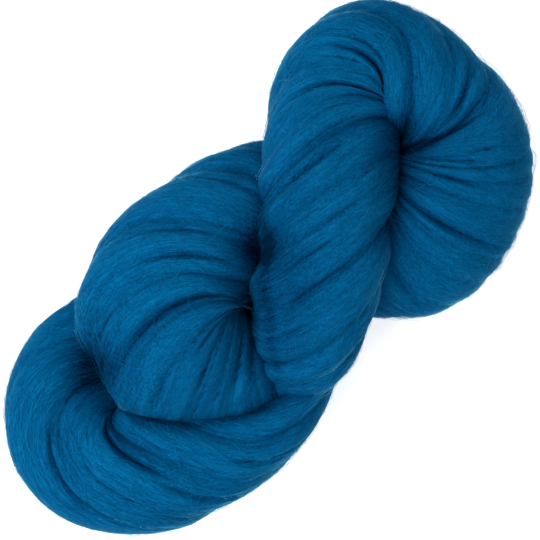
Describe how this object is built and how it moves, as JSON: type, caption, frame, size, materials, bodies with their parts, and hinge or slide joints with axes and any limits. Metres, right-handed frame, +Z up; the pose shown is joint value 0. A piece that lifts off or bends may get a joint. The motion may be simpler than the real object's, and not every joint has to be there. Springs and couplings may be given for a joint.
{
  "type": "wool roving hank",
  "caption": "Hank of combed wool roving: a thick, soft bundle of sliver twisted hard and laid round itself like a rope, for hand spinning and felting.",
  "frame": {"origin": "the surface that the hank rests on, below the middle of its plan box", "axes": "+X along the hank towards its tight bight, +Z up from the surface"},
  "size_m": [0.3367, 0.1635, 0.0981],
  "materials": {
    "roving": "matte combed wool with a faint sheen along the fibres, dyed teal blue"
  },
  "bodies": {
    "root": {"hank": "roving"}
  },
  "joints": []
}
